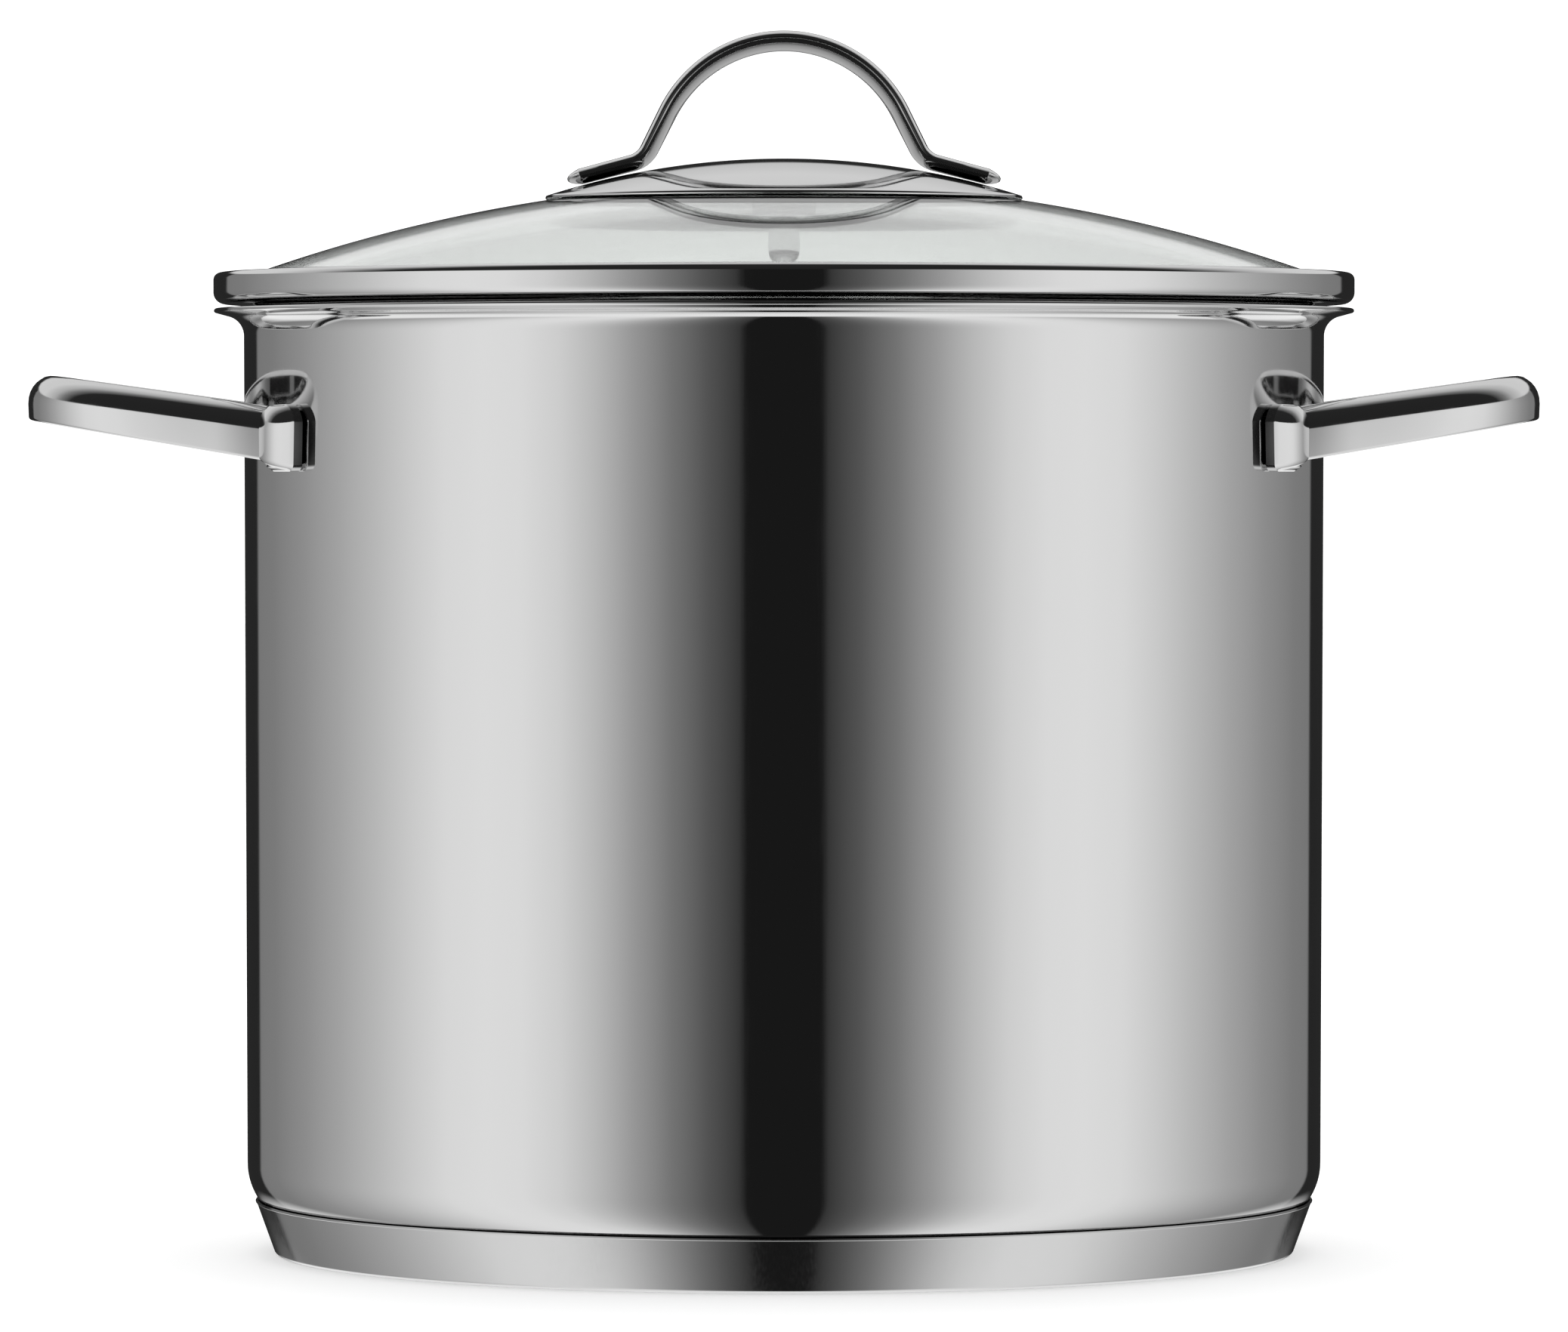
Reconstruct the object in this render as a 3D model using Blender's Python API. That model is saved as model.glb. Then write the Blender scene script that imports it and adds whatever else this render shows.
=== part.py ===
"""Stock pot with two side loop handles and a domed glass lid. Metres, +Z up, standing on z = 0."""
import math

import bmesh
import bpy
from mathutils import Vector
from mathutils.geometry import interpolate_bezier

# Pot body, deep drawn sheet
pot_radius = 0.1208          # outer, under the rim
wall_draft = 0.0006          # the wall is this much narrower above the bottom corner
pot_height = 0.2113          # table to the top of the lip
pot_wall = 0.0010
pot_corner = 0.0143          # outer bottom corner radius
shell_floor = 0.0060         # table to the underside of the drawn floor
rim_reach = 0.0067           # how far the lip stands out of the wall
rim_fillet = 0.0045
rim_slope = math.radians(15)

# Capsule base: a steel cap pressed over an aluminium core
cap_height = 0.0120
cap_inset = 0.0018           # the cap's lip stands this far inside the wall
cap_taper = math.radians(20.6)
cap_sheet = 0.0006
cap_edge = 0.0012            # rounding where the cap meets the table
core_step = 0.0040           # core edge stands this far inside the cap's wall

# Side handles
foot_angle = math.radians(27.0)      # from the x axis to each foot, seen from above
foot_width = 0.0150
foot_height = 0.0150
foot_drop = 0.0364                   # top of the lip down to the underside of the feet
foot_thick = 0.0024
loop_reach = 0.0482                  # pot wall to the tip of the loop
band_width = 0.0075
band_height = 0.0121
band_height_tip = 0.0107
band_round = 0.0056                  # outer top shoulder of the band
band_round_tip = 0.0070
band_ease = 0.0010                   # small roundings of the band
arm_shift = 0.0040                   # arm leaves the foot this far off its middle
arm_toe_in = math.radians(22)        # arms close in on each other by this angle
arm_clear = 0.0005                   # and starts this far out of the foot's face
arm_seat = 0.0022                    # foot's underside to the arm's
arm_pull = 0.0400                    # length of the curve's handle along the arm
tip_pull = 0.0380                    # and across the tip
loop_rise = math.tan(math.radians(9.4))
arm_steps = 9

# Lid
dome_radius = 0.3528                 # outer face of the glass
glass_thick = 0.0040
ring_overhang = 0.0068               # ring's outer face beyond the pot wall
ring_room = 0.0033                   # ring is this much taller than the glass is thick
ring_sheet = 0.0006
ring_flange = 0.0080                 # width of the ring's top flange
glass_inset = 0.0051                 # glass edge inside the ring's outer face
ring_round_top = 0.0016
ring_round_low = 0.0026
ring_gap = 0.0009                    # ring stands this far over the pot's lip
skirt_depth = 0.0060                 # locating skirt below the ring, inside the pot
skirt_clearance = 0.0014             # skirt to pot wall
seal_inset = 0.0006                  # bedding strip starts this far out of the skirt

# Lid handle and its cap plate
plate_radius = 0.0534
plate_dome = 0.1740
plate_sheet = 0.0008
plate_edge = 0.0007                  # upright edge of the plate
gasket_inset = 0.0034                # gasket inside the plate's rim
gasket_width = 0.0060
bow_thick = 0.0047
bow_thick_foot = 0.0036
bow_width = 0.0088
arch_radius = 0.02915                # middle line of the arch
leg_slope = math.radians(63.4)
leg_length = 0.0091
bend_radius = 0.0059
bow_foot_slope = math.radians(14.6)
bow_foot_length = 0.0149
toe_dome = 0.0009                    # bulge of the bow's end faces
toe_share = 0.55                     # size of the flat at each end, of the full section

# Centre fastener
stud_radius = 0.0025
stud_flange = 0.0060
stud_ease = 0.0005
bush_wall = 0.0012
bush_flange = 0.0030
washer_radius = 0.0072
washer_thick = 0.0010
washer_ease = 0.0003
rubber_thick = 0.0012
nut_radius = 0.0036
nut_height = 0.0112

# Fits
weld_gap = 0.0003                    # pieces that are welded or pressed together
seat_gap = 0.0003

# Faceting
round_steps = 48
small_steps = 24
dome_steps = 7
plate_steps = 6
arch_steps = 8
bend_steps = 5


def finish(name, red, green, blue, roughness, metallic, alpha=1.0):
    """Plain finish for one piece."""
    paint = bpy.data.materials.new(name)
    paint.use_nodes = True
    shader = paint.node_tree.nodes["Principled BSDF"]
    shader.inputs["Base Color"].default_value = (red, green, blue, 1.0)
    shader.inputs["Roughness"].default_value = roughness
    shader.inputs["Metallic"].default_value = metallic
    shader.inputs["Alpha"].default_value = alpha
    return paint


def add_body(name, mesh, paint, parent):
    """Put a finished bmesh into the scene as one named piece."""
    bmesh.ops.remove_doubles(mesh, verts=mesh.verts, dist=0.000001)
    bmesh.ops.recalc_face_normals(mesh, faces=mesh.faces)
    data = bpy.data.meshes.new(name)
    mesh.to_mesh(data)
    mesh.free()
    data.shade_smooth()
    data.set_sharp_from_angle(angle=math.radians(35))
    data.materials.append(paint)
    body = bpy.data.objects.new(name, data)
    bpy.context.scene.collection.objects.link(body)
    body.parent = parent
    return body


def turned(name, profile, paint, parent, steps=round_steps):
    """Turn a closed outline of (radius, height) points about the z axis."""
    mesh = bmesh.new()
    points = [mesh.verts.new((radius, 0.0, height)) for radius, height in profile]
    edges = [mesh.edges.new(pair) for pair in zip(points, points[1:] + points[:1])]
    on_axis = [edge for edge in edges if max(abs(vert.co.x) for vert in edge.verts) < 1e-9]
    for edge in on_axis:
        mesh.edges.remove(edge)
    bmesh.ops.spin(
        mesh, geom=mesh.verts[:] + mesh.edges[:], cent=(0, 0, 0), axis=(0, 0, 1),
        angle=math.tau, steps=steps, use_merge=True, use_duplicate=False)
    return add_body(name, mesh, paint, parent)


def lofted(name, rings, paint, parent):
    """Join equal rings of points one after another and close both ends."""
    mesh = bmesh.new()
    loops = []
    for ring in rings:
        points = [mesh.verts.new(point) for point in ring]
        loops.append([mesh.edges.new(pair) for pair in zip(points, points[1:] + points[:1])])
    for first, second in zip(loops, loops[1:]):
        bmesh.ops.bridge_loops(mesh, edges=first + second)
    for end in (loops[0], loops[-1]):
        bmesh.ops.contextual_create(mesh, geom=end)
    bmesh.ops.triangulate(mesh, faces=[face for face in mesh.faces if len(face.verts) > 4])
    return add_body(name, mesh, paint, parent)


def arc(centre, radius, start, end, steps):
    """Points of an arc in a profile, angles in degrees from the outward direction."""
    points = []
    for step in range(steps + 1):
        angle = math.radians(start + (end - start) * step / steps)
        points.append((centre[0] + radius * math.cos(angle), centre[1] + radius * math.sin(angle)))
    return points


def dome_height(radius, dome, apex):
    """Height of a spherical face of the given dome radius and apex."""
    return apex - dome + math.sqrt(dome * dome - radius * radius)


def dome_line(start, end, dome, apex, steps):
    """Profile points on a spherical face between two radii."""
    radii = [start + (end - start) * step / steps for step in range(steps + 1)]
    return [(radius, dome_height(radius, dome, apex)) for radius in radii]


# Radii and heights that follow from the sizes above
pot_radius_low = pot_radius - wall_draft
cap_radius = pot_radius_low - cap_inset
foot_bottom = pot_height - foot_drop
ring_radius = pot_radius + ring_overhang
ring_lip = ring_radius - ring_flange
glass_radius = ring_radius - glass_inset
ring_height = glass_thick + ring_room
gasket_outer = plate_radius - gasket_inset
gasket_inner = gasket_outer - gasket_width
ring_bottom = pot_height + ring_gap
ring_top = ring_bottom + ring_height
glass_apex = ring_top - ring_sheet - seat_gap - dome_height(ring_lip, dome_radius, 0.0)
plate_rim = dome_height(plate_radius, dome_radius, glass_apex) + seat_gap
plate_apex = plate_rim + plate_edge - dome_height(plate_radius, plate_dome, 0.0)


def pot_shell(paint, parent):
    """Drawn body: flat floor, round corner, straight wall, flared lip."""
    corner_centre = (pot_radius_low - pot_corner, shell_floor + pot_corner)
    turn = math.pi / 2 - rim_slope
    rise = rim_fillet * math.sin(turn) + (rim_reach - rim_fillet * (1 - math.cos(turn))) * math.tan(rim_slope)
    lip_under = pot_height - pot_wall * math.cos(rim_slope)
    fillet_z = lip_under - rise
    fillet_centre = (pot_radius + rim_fillet, fillet_z)
    lip_radius = pot_radius + rim_reach
    lean = pot_wall * math.sin(rim_slope)
    outside = [(0.0, shell_floor)] + arc(corner_centre, pot_corner, -90, 0, 5)
    outside += arc(fillet_centre, rim_fillet, 180, 180 - math.degrees(turn), 4)
    outside += [(lip_radius, lip_under), (lip_radius - lean, pot_height)]
    inner_fillet = arc(fillet_centre, rim_fillet + pot_wall, 180 - math.degrees(turn), 180, 4)
    inside = inner_fillet + arc(corner_centre, pot_corner - pot_wall, 0, -90, 5)
    inside += [(0.0, shell_floor + pot_wall)]
    turned("pot_shell", outside + inside, paint, parent)


def cap_radius_at(height):
    """Outer radius of the base cap's tapered wall."""
    return cap_radius - (cap_height - height) * math.tan(cap_taper)


def base_cap(paint, parent):
    """Pressed cap over the base, open at the top."""
    side = cap_sheet / math.cos(cap_taper)
    profile = [
        (0.0, 0.0), (cap_radius_at(0.0) - cap_edge, 0.0), (cap_radius_at(cap_edge), cap_edge),
        (cap_radius, cap_height), (cap_radius - side, cap_height),
        (cap_radius_at(cap_edge) - side, cap_edge + cap_sheet / 2),
        (cap_radius_at(0.0) - cap_edge - side, cap_sheet), (0.0, cap_sheet)]
    turned("base_cap", profile, paint, parent)


def base_core(paint, parent):
    """Aluminium heat-spreading disc inside the capsule."""
    low = cap_sheet + weld_gap
    high = shell_floor - weld_gap
    radius = min(cap_radius_at(low), pot_radius_low) - core_step
    chamfer = (high - low) / 4
    profile = [(0.0, low), (radius - chamfer, low), (radius, low + chamfer),
               (radius, high - chamfer), (radius - chamfer, high), (0.0, high)]
    turned("base_core", profile, paint, parent)


def band_section(width, height, shoulder, ease):
    """Outline of the handle band: (across, up), across runs from the outer face inwards."""
    points = [(ease, 0.0), (0.0, ease), (0.0, height - shoulder)]
    for degrees in (30, 60, 90):
        angle = math.radians(degrees)
        points.append((shoulder * (1 - math.cos(angle)), height - shoulder + shoulder * math.sin(angle)))
    points += [(width - ease, height), (width, height - ease), (width, ease), (width - ease, 0.0)]
    return points


def foot_section(width, height):
    """Outline of a handle's foot: flat below, bowed sides, arched top."""
    shares = [(0.13, 0.0), (0.02, 0.13), (0.0, 0.5), (0.06, 0.85), (0.25, 0.96), (0.5, 1.0),
              (0.75, 0.96), (0.94, 0.85), (1.0, 0.45), (0.87, 0.0)]
    return [(across * width, up * height) for across, up in shares]


def ring_at(centre, outward, section, width, base, rise=0.0):
    """Stand a section up at a plan point, its outer face half a width out along outward."""
    start = centre + outward * (width / 2)
    ring = []
    for across, up in section:
        spot = start - outward * across
        ring.append((spot.x, spot.y, base + up + spot.x * rise))
    return ring


def side_handle(name, side, paint, parent):
    """Loop handle: foot, arm, rounded tip, arm, foot; side is +1 or -1 along x."""
    normal = Vector((math.cos(foot_angle), -math.sin(foot_angle)))
    near = Vector((-math.sin(foot_angle), -math.cos(foot_angle)))
    back = pot_radius + weld_gap
    foot_back = normal * back
    foot_front = normal * (back + foot_thick)
    arm_start = foot_front - near * arm_shift + normal * arm_clear
    arm_way = Vector((math.cos(arm_toe_in), math.sin(arm_toe_in)))
    tip = Vector((pot_radius + loop_reach - band_width / 2, 0.0))
    curve = interpolate_bezier(
        (*arm_start, 0), (*(arm_start + arm_way * arm_pull), 0),
        (tip.x, -tip_pull, 0), (*tip, 0), arm_steps + 1)

    flange = foot_section(foot_width, foot_height)
    rings = [ring_at(spot, near, flange, foot_width, foot_bottom) for spot in (foot_back, foot_front)]
    arm_low = foot_bottom + arm_seat - arm_start.x * loop_rise
    for step, spot in enumerate(curve):
        if step == 0:
            continue
        before = curve[step - 1]
        after = curve[step + 1] if step < arm_steps else Vector((tip.x, -curve[step - 1].y, 0))
        way = (after - before).normalized()
        outward = Vector((way.y, -way.x))
        shoulder = band_round + (band_round_tip - band_round) * max(outward.x, 0.0)
        share = (spot.x - arm_start.x) / (tip.x - arm_start.x)
        height = band_height + (band_height_tip - band_height) * share
        section = band_section(band_width, height, min(shoulder, band_width - band_ease), band_ease)
        rings.append(ring_at(spot.to_2d(), outward, section, band_width, arm_low, loop_rise))
    far_side = [[(x, -y, z) for x, y, z in ring] for ring in reversed(rings[:-1])]
    loop = [[(side * x, y, z) for x, y, z in ring] for ring in rings + far_side]
    lofted(name, loop, paint, parent)


def lid_glass(paint, parent):
    """Domed glass disc with a hole for the handle stud."""
    hole = stud_radius + bush_wall + 2 * seat_gap
    under = glass_apex - glass_thick
    inner_dome = dome_radius - glass_thick
    outside = dome_line(hole, glass_radius, dome_radius, glass_apex, dome_steps)
    inside = dome_line(glass_radius, hole, inner_dome, under, dome_steps)
    turned("lid_glass", outside + inside, paint, parent)


def skirt_radius():
    """Outer radius of the locating skirt inside the pot."""
    return pot_radius - pot_wall - skirt_clearance


def lid_ring(paint, parent):
    """Rolled steel ring: top flange, outer wall, bottom flange and locating skirt."""
    sheet = ring_sheet
    top_centre = (ring_radius - ring_round_top, ring_top - ring_round_top - sheet / 2)
    low_centre = (ring_radius - ring_round_low, ring_bottom + ring_round_low)
    skirt = skirt_radius()
    skirt_bottom = ring_bottom - skirt_depth
    outside = [(skirt, skirt_bottom), (skirt, ring_bottom)]
    outside += arc(low_centre, ring_round_low, -90, 0, 3) + arc(top_centre, ring_round_top, 0, 90, 3)
    outside += [(ring_lip, ring_top)]
    inside = [(ring_lip, ring_top - sheet)]
    inside += arc(top_centre, ring_round_top - sheet, 90, 0, 2)
    inside += arc(low_centre, ring_round_low - sheet, 0, -90, 2)
    inside += [(skirt - sheet, ring_bottom + sheet), (skirt - sheet, skirt_bottom)]
    turned("lid_ring", outside + inside, paint, parent)


def lid_seal(paint, parent):
    """Bedding strip that fills the ring's channel under and beside the glass edge."""
    inner_dome = dome_radius - glass_thick
    under = glass_apex - glass_thick
    start = skirt_radius() + seal_inset
    edge = glass_radius + seat_gap
    wall = ring_radius - ring_sheet - 2 * seat_gap
    low = ring_bottom + ring_sheet + seat_gap
    top = dome_height(glass_radius, dome_radius, glass_apex)
    profile = [
        (start, low), (wall - ring_round_low / 2, low), (wall, low + ring_round_low / 2), (wall, top),
        (edge, top), (edge, dome_height(edge, inner_dome, under) - seat_gap),
        (start, dome_height(start, inner_dome, under) - 2 * seat_gap)]
    turned("lid_seal", profile, paint, parent)


def lid_cap_plate(paint, parent):
    """Domed cover plate that carries the bow handle."""
    under = plate_apex - plate_sheet
    inner_dome = plate_dome - plate_sheet
    inner_rim = plate_radius - plate_sheet
    profile = dome_line(0.0, plate_radius, plate_dome, plate_apex, plate_steps) + [(plate_radius, plate_rim)]
    profile += [(inner_rim, plate_rim)] + dome_line(inner_rim, 0.0, inner_dome, under, plate_steps)
    turned("lid_cap_plate", profile, paint, parent)


def plate_gasket(paint, parent):
    """Flat soft ring between the cap plate and the glass."""
    inner_dome = plate_dome - plate_sheet
    profile = []
    for radius in (gasket_inner, gasket_outer):
        profile.append((radius, dome_height(radius, dome_radius, glass_apex) + seat_gap))
    for radius in (gasket_outer, gasket_inner):
        profile.append((radius, dome_height(radius, inner_dome, plate_apex - plate_sheet) - seat_gap))
    turned("plate_gasket", profile, paint, parent)


def bow_path():
    """Half of the bow's middle line from its top to its toe: (along x, height, slope) points."""
    path = []
    along, height = 0.0, 0.0
    for step in range(arch_steps + 1):
        slope = leg_slope * step / arch_steps
        path.append((arch_radius * math.sin(slope), arch_radius * (math.cos(slope) - 1), slope))
    along, height, slope = path[-1]
    along += leg_length * math.cos(leg_slope)
    height -= leg_length * math.sin(leg_slope)
    for step in range(bend_steps + 1):
        turn = leg_slope + (bow_foot_slope - leg_slope) * step / bend_steps
        out = bend_radius * (math.sin(leg_slope) - math.sin(turn))
        down = bend_radius * (math.cos(turn) - math.cos(leg_slope))
        path.append((along + out, height - down, turn))
    along, height, slope = path[-1]
    for share in (0.5, 1.0):
        length = bow_foot_length * share
        path.append((along + length * math.cos(slope), height - length * math.sin(slope), slope))
    return path


def lid_handle(paint, parent):
    """Bow handle of forged rod, a rounded shield in section, standing on the cap plate."""
    path = bow_path()
    toe_along, toe_height, toe_slope = path[-1]
    toe_under = toe_height - bow_thick_foot / 2 / math.cos(toe_slope)
    lift = dome_height(toe_along, plate_dome, plate_apex) + weld_gap - toe_under
    shield = [(0.0, 0.5), (0.30, 0.43), (0.5, 0.16), (0.42, -0.12), (0.16, -0.46),
              (-0.16, -0.46), (-0.42, -0.12), (-0.5, 0.16), (-0.30, 0.43)]

    def ring(side, along, height, slope, share, size=1.0):
        thick = (bow_thick + (bow_thick_foot - bow_thick) * share) * size
        lean = (math.sin(slope) * side, math.cos(slope))
        middle = lift + height
        width = bow_width * size
        return [(side * along + lean[0] * thick * up, width * across, middle + lean[1] * thick * up)
                for across, up in shield]

    run = []
    last = len(path) - 1
    for step in range(last, 0, -1):
        run.append(ring(-1, *path[step], step / last))
    for step in range(last + 1):
        run.append(ring(1, *path[step], step / last))
    ends = []
    for side in (-1, 1):
        beyond = (toe_along + toe_dome * math.cos(toe_slope), toe_height - toe_dome * math.sin(toe_slope))
        ends.append(ring(side, *beyond, toe_slope, 1.0, toe_share))
    lofted("lid_handle", [ends[0]] + run + [ends[1]], paint, parent)


def centre_fastener(steel, rubber, parent):
    """Stud welded under the plate, bush in the glass, washers and domed nut below."""
    under_plate = dome_height(stud_flange, plate_dome - plate_sheet, plate_apex - plate_sheet) - weld_gap
    glass_top = glass_apex
    glass_low = glass_apex - glass_thick
    bush_bore = stud_radius + seat_gap
    bush_outer = bush_bore + bush_wall
    bush_top = glass_top + seat_gap + rubber_thick
    bush_end = glass_low + seat_gap
    flange_low = bush_top + seat_gap
    rubber_top = glass_low - seat_gap
    rubber_low = rubber_top - rubber_thick
    washer_top = rubber_low - seat_gap
    washer_low = washer_top - washer_thick
    nut_top = washer_low - seat_gap
    nut_low = nut_top - nut_height
    stud_end = nut_low + nut_radius

    stud = [(0.0, under_plate), (stud_flange, under_plate), (stud_flange, flange_low + stud_ease),
            (stud_flange - stud_ease, flange_low), (stud_radius, flange_low),
            (stud_radius, stud_end + stud_ease), (stud_radius - stud_ease, stud_end), (0.0, stud_end)]
    turned("lid_stud", stud, steel, parent, small_steps)

    bush = [(bush_bore, bush_end), (bush_outer, bush_end), (bush_outer, glass_top + seat_gap),
            (bush_outer + bush_flange, glass_top + seat_gap), (bush_outer + bush_flange, bush_top),
            (bush_bore, bush_top)]
    turned("glass_bush", bush, rubber, parent, small_steps)

    rubber_ring = [(bush_bore, rubber_low), (washer_radius, rubber_low), (washer_radius, rubber_top),
                   (bush_bore, rubber_top)]
    turned("rubber_washer", rubber_ring, rubber, parent, small_steps)

    washer = [(bush_bore, washer_low), (washer_radius - washer_ease, washer_low),
              (washer_radius, washer_low + washer_ease), (washer_radius, washer_top), (bush_bore, washer_top)]
    turned("steel_washer", washer, steel, parent, small_steps)

    crown = arc((0.0, nut_low + nut_radius), nut_radius, -90, 0, 4)[1:]
    thread = stud_radius + seat_gap
    pocket = stud_end - seat_gap
    nut = [(0.0, nut_low)] + crown
    nut += [(nut_radius, nut_top), (thread, nut_top), (thread, pocket), (0.0, pocket)]
    turned("cap_nut", nut, steel, parent, small_steps)


def build():
    for old in list(bpy.data.objects):
        bpy.data.objects.remove(old, do_unlink=True)
    polished = finish("polished_steel", 0.62, 0.62, 0.62, 0.08, 1.0)
    satin = finish("satin_steel", 0.50, 0.50, 0.50, 0.30, 1.0)
    aluminium = finish("aluminium_core", 0.70, 0.70, 0.71, 0.45, 1.0)
    glass = finish("tempered_glass", 0.80, 0.82, 0.81, 0.02, 0.0, 0.35)
    silicone = finish("silicone", 0.10, 0.10, 0.10, 0.60, 0.0)

    pot = bpy.data.objects.new("pot", None)
    lid = bpy.data.objects.new("lid", None)
    for empty in (pot, lid):
        bpy.context.scene.collection.objects.link(empty)

    pot_shell(polished, pot)
    base_core(aluminium, pot)
    base_cap(satin, pot)
    for word, side in (("left", -1), ("right", 1)):
        side_handle("handle_" + word, side, polished, pot)

    lid_glass(glass, lid)
    lid_ring(polished, lid)
    lid_seal(silicone, lid)
    lid_cap_plate(polished, lid)
    plate_gasket(silicone, lid)
    lid_handle(polished, lid)
    centre_fastener(polished, silicone, lid)


build()
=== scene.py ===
import math

import bmesh
import bpy
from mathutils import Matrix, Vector


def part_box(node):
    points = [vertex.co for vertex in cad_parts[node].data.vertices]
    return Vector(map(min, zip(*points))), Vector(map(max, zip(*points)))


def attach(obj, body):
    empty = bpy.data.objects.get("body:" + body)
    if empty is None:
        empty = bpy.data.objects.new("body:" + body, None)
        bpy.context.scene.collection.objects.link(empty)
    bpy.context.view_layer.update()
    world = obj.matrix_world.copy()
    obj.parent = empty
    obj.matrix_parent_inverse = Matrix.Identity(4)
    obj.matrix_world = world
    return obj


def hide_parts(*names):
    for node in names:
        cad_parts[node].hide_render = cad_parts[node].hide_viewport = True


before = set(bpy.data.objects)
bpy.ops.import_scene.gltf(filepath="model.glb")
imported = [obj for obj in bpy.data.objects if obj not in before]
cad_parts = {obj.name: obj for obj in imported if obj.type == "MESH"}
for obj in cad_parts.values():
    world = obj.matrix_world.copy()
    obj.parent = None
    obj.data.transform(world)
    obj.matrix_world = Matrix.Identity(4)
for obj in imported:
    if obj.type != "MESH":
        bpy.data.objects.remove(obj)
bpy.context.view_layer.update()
mm = 0.001
gap = 0.3  # clearance between mating pieces, in millimetres
wideTurn, plateTurn, smallTurn, studTurn = 256, 192, 96, 64  # steps in a full turn, by the size of the piece
print("stage: frame loaded")


# colour and node helpers

def linearColour(code):  # "#rrggbb" in sRGB to linear RGBA
    values = [int(code[start:start + 2], 16) / 255 for start in (1, 3, 5)]
    straight = [v / 12.92 if v <= 0.04045 else ((v + 0.055) / 1.055) ** 2.4 for v in values]
    return (*straight, 1.0)


def addNode(tree, kind, settings=None, **links):  # one node, its settings and what feeds its sockets
    node = tree.nodes.new(kind)
    for name, value in (settings or {}).items():
        if name in node.inputs:
            node.inputs[name].default_value = value
        else:
            setattr(node, name, value)
    for name, source in links.items():
        socket = int(name[2:]) if name[:2] == "in" and name[2:].isdigit() else name
        tree.links.new(source, node.inputs[socket])
    return node


def setRamp(node, stops):  # stops are (place, brightness) pairs
    ramp = node.color_ramp
    while len(ramp.elements) > 1:
        ramp.elements.remove(ramp.elements[-1])
    for count, (place, grey) in enumerate(stops):
        mark = ramp.elements[0] if count == 0 else ramp.elements.new(place)
        mark.position = place
        mark.color = (grey, grey, grey, 1.0)


def newMaterial(name):
    made = bpy.data.materials.new(name)
    made.use_nodes = True
    return made, made.node_tree, made.node_tree.nodes["Principled BSDF"]


# shaping helpers: outlines are drawn in millimetres in the x-z plane, then turned about z

def drawOutline(moves, closed=False):
    # a move is (r, z) for a line, or (r, z, degrees, steps) for an arc about (r, z)
    bm = bmesh.new()
    first = bm.verts.new((moves[0][0], 0, moves[0][1]))
    pen = first
    for move in moves[1:]:
        if len(move) == 2:
            tip = bm.verts.new((move[0], 0, move[1]))
            bm.edges.new((pen, tip))
            pen = tip
            continue
        r, z, degrees, steps = move
        swung = bmesh.ops.spin(
            bm, geom=[pen], cent=(r, 0, z), axis=(0, 1, 0), angle=math.radians(degrees), steps=steps)
        pen = next(item for item in swung["geom_last"] if isinstance(item, bmesh.types.BMVert))
    if closed:
        bm.edges.new((pen, first))
    return bm


def turnOutline(bm, steps):  # a full turn about z
    bmesh.ops.spin(
        bm, geom=bm.verts[:] + bm.edges[:], cent=(0, 0, 0), axis=(0, 0, 1),
        angle=math.tau, steps=steps, use_merge=True)
    bmesh.ops.remove_doubles(bm, verts=bm.verts, dist=0.0005)


def settle(bm, name, material, body, nodes, sharp=38):  # finish a piece and tie it to the frame
    bmesh.ops.scale(bm, vec=(mm, mm, mm), verts=bm.verts)
    bmesh.ops.recalc_face_normals(bm, faces=bm.faces)
    data = bpy.data.meshes.new(name)
    bm.to_mesh(data)
    bm.free()
    data.shade_smooth()
    data.set_sharp_from_angle(angle=math.radians(sharp))
    data.materials.append(material)
    piece = bpy.data.objects.new(name, data)
    bpy.context.scene.collection.objects.link(piece)
    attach(piece, body)
    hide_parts(*nodes)


def boxInMm(node):  # a CAD node's box in millimetres
    low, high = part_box(node)
    return Vector(low) / mm, Vector(high) / mm


def domeAngle(radius, dome):  # angle on a sphere from its top to a radius, in degrees
    return math.degrees(math.asin(radius / dome))


def domeDrop(radius, dome):  # how far a sphere has dropped at a radius
    return dome - math.sqrt(dome * dome - radius * radius)


# finishes

steelLook = {
    "lineGap": 0.5, "waveGap": 45, "smearGap": 14,  # millimetres between polishing lines, waves and smears
    "smearRange": (0.15, 0.4), "roughRange": (0.75, 1.5)}


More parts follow.
